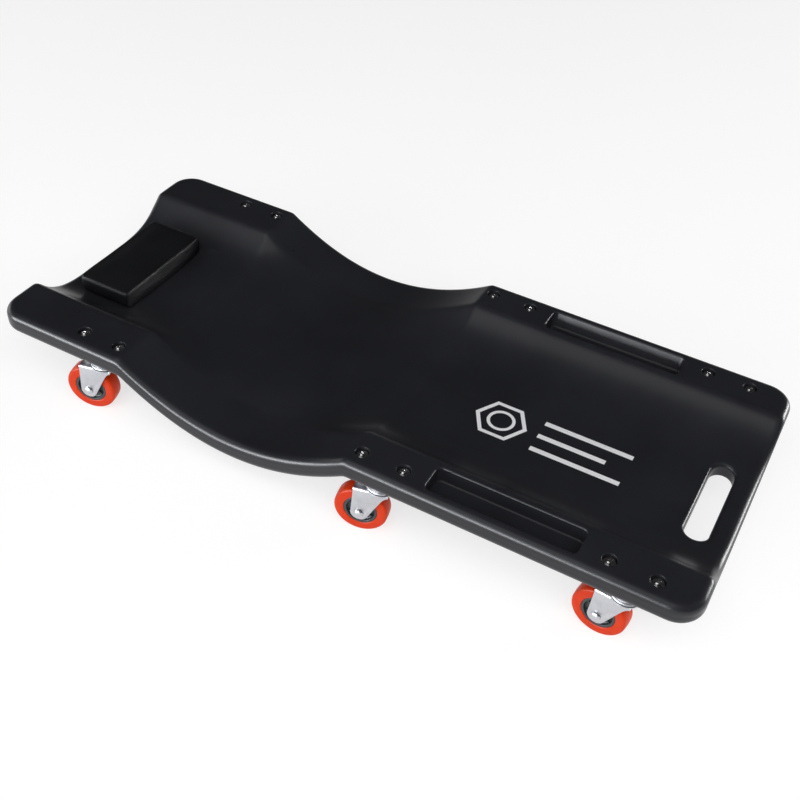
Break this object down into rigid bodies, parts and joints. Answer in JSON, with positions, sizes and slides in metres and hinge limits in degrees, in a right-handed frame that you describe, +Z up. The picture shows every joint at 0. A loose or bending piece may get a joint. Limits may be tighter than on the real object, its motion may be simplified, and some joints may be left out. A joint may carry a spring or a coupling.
{
  "type": "mechanics creeper",
  "caption": "Low rolling board a mechanic lies on: moulded deck with a body trough, dropped waist, tool trays, carrying slot and padded headrest, on swivel casters.",
  "frame": {"origin": "on the floor, under the centre of the deck", "axes": "+X towards the foot end, which has the carrying slot, +Y towards the left side, +Z up"},
  "size_m": [0.916, 0.392, 0.111],
  "materials": {
    "deck_plastic": "satin black, fine moulded grain",
    "pad_vinyl": "black upholstery vinyl over foam",
    "board_wood": "raw plywood",
    "zinc": "bright zinc plate",
    "tyre_orange": "orange-red polyurethane, satin",
    "hub_grey": "dark grey moulded plastic"
  },
  "bodies": {
    "deck_frame": {"deck": "deck_plastic", "headrest_pad": "pad_vinyl", "headrest_board": "board_wood", "headrest_screw_left": "zinc", "headrest_screw_right": "zinc", "deck_bolt_head_left_a": "zinc", "deck_bolt_head_left_b": "zinc", "deck_bolt_head_right_a": "zinc", "deck_bolt_head_right_b": "zinc", "deck_bolt_mid_left_a": "zinc", "deck_bolt_mid_left_b": "zinc", "deck_bolt_mid_right_a": "zinc", "deck_bolt_mid_right_b": "zinc", "deck_bolt_foot_left_a": "zinc", "deck_bolt_foot_left_b": "zinc", "deck_bolt_foot_right_a": "zinc", "deck_bolt_foot_right_b": "zinc", "caster_plate_head_left": "zinc", "ball_race_head_left": "zinc", "kingpin_head_left": "zinc", "caster_plate_head_right": "zinc", "ball_race_head_right": "zinc", "kingpin_head_right": "zinc", "caster_plate_mid_left": "zinc", "ball_race_mid_left": "zinc", "kingpin_mid_left": "zinc", "caster_plate_mid_right": "zinc", "ball_race_mid_right": "zinc", "kingpin_mid_right": "zinc", "caster_plate_foot_left": "zinc", "ball_race_foot_left": "zinc", "kingpin_foot_left": "zinc", "caster_plate_foot_right": "zinc", "ball_race_foot_right": "zinc", "kingpin_foot_right": "zinc"},
    "swivel_head_left": {"yoke_head_left": "zinc", "axle_head_left": "zinc"},
    "wheel_head_left": {"wheel_hub_head_left": "hub_grey", "wheel_tyre_head_left": "tyre_orange"},
    "swivel_head_right": {"yoke_head_right": "zinc", "axle_head_right": "zinc"},
    "wheel_head_right": {"wheel_hub_head_right": "hub_grey", "wheel_tyre_head_right": "tyre_orange"},
    "swivel_mid_left": {"yoke_mid_left": "zinc", "axle_mid_left": "zinc"},
    "wheel_mid_left": {"wheel_hub_mid_left": "hub_grey", "wheel_tyre_mid_left": "tyre_orange"},
    "swivel_mid_right": {"yoke_mid_right": "zinc", "axle_mid_right": "zinc"},
    "wheel_mid_right": {"wheel_hub_mid_right": "hub_grey", "wheel_tyre_mid_right": "tyre_orange"},
    "swivel_foot_left": {"yoke_foot_left": "zinc", "axle_foot_left": "zinc"},
    "wheel_foot_left": {"wheel_hub_foot_left": "hub_grey", "wheel_tyre_foot_left": "tyre_orange"},
    "swivel_foot_right": {"yoke_foot_right": "zinc", "axle_foot_right": "zinc"},
    "wheel_foot_right": {"wheel_hub_foot_right": "hub_grey", "wheel_tyre_foot_right": "tyre_orange"}
  },
  "joints": [
    {"name": "swivel_head_left", "type": "hinge", "parent": "deck_frame", "child": "swivel_head_left", "pos_m": [-0.308, 0.172, 0.072], "axis": [0, 0, 1], "continuous": true},
    {"name": "spin_head_left", "type": "hinge", "parent": "swivel_head_left", "child": "wheel_head_left", "pos_m": [-0.32846, 0.17672, 0.0325], "axis": [0.225, 0.9744, 0], "continuous": true},
    {"name": "swivel_head_right", "type": "hinge", "parent": "deck_frame", "child": "swivel_head_right", "pos_m": [-0.308, -0.172, 0.072], "axis": [0, 0, 1], "continuous": true},
    {"name": "spin_head_right", "type": "hinge", "parent": "swivel_head_right", "child": "wheel_head_right", "pos_m": [-0.32846, -0.17672, 0.0325], "axis": [-0.225, 0.9744, 0], "continuous": true},
    {"name": "swivel_mid_left", "type": "hinge", "parent": "deck_frame", "child": "swivel_mid_left", "pos_m": [0.0865, 0.172, 0.072], "axis": [0, 0, 1], "continuous": true},
    {"name": "spin_mid_left", "type": "hinge", "parent": "swivel_mid_left", "child": "wheel_mid_left", "pos_m": [0.06596, 0.17637, 0.0325], "axis": [0.2079, 0.9781, 0], "continuous": true},
    {"name": "swivel_mid_right", "type": "hinge", "parent": "deck_frame", "child": "swivel_mid_right", "pos_m": [0.0865, -0.172, 0.072], "axis": [0, 0, 1], "continuous": true},
    {"name": "spin_mid_right", "type": "hinge", "parent": "swivel_mid_right", "child": "wheel_mid_right", "pos_m": [0.06596, -0.17637, 0.0325], "axis": [-0.2079, 0.9781, 0], "continuous": true},
    {"name": "swivel_foot_left", "type": "hinge", "parent": "deck_frame", "child": "swivel_foot_left", "pos_m": [0.3795, 0.172, 0.072], "axis": [0, 0, 1], "continuous": true},
    {"name": "spin_foot_left", "type": "hinge", "parent": "swivel_foot_left", "child": "wheel_foot_left", "pos_m": [0.35862, 0.16981, 0.0325], "axis": [-0.1045, 0.9945, 0], "continuous": true},
    {"name": "swivel_foot_right", "type": "hinge", "parent": "deck_frame", "child": "swivel_foot_right", "pos_m": [0.3795, -0.172, 0.072], "axis": [0, 0, 1], "continuous": true},
    {"name": "spin_foot_right", "type": "hinge", "parent": "swivel_foot_right", "child": "wheel_foot_right", "pos_m": [0.35862, -0.16981, 0.0325], "axis": [0.1045, 0.9945, 0], "continuous": true}
  ]
}
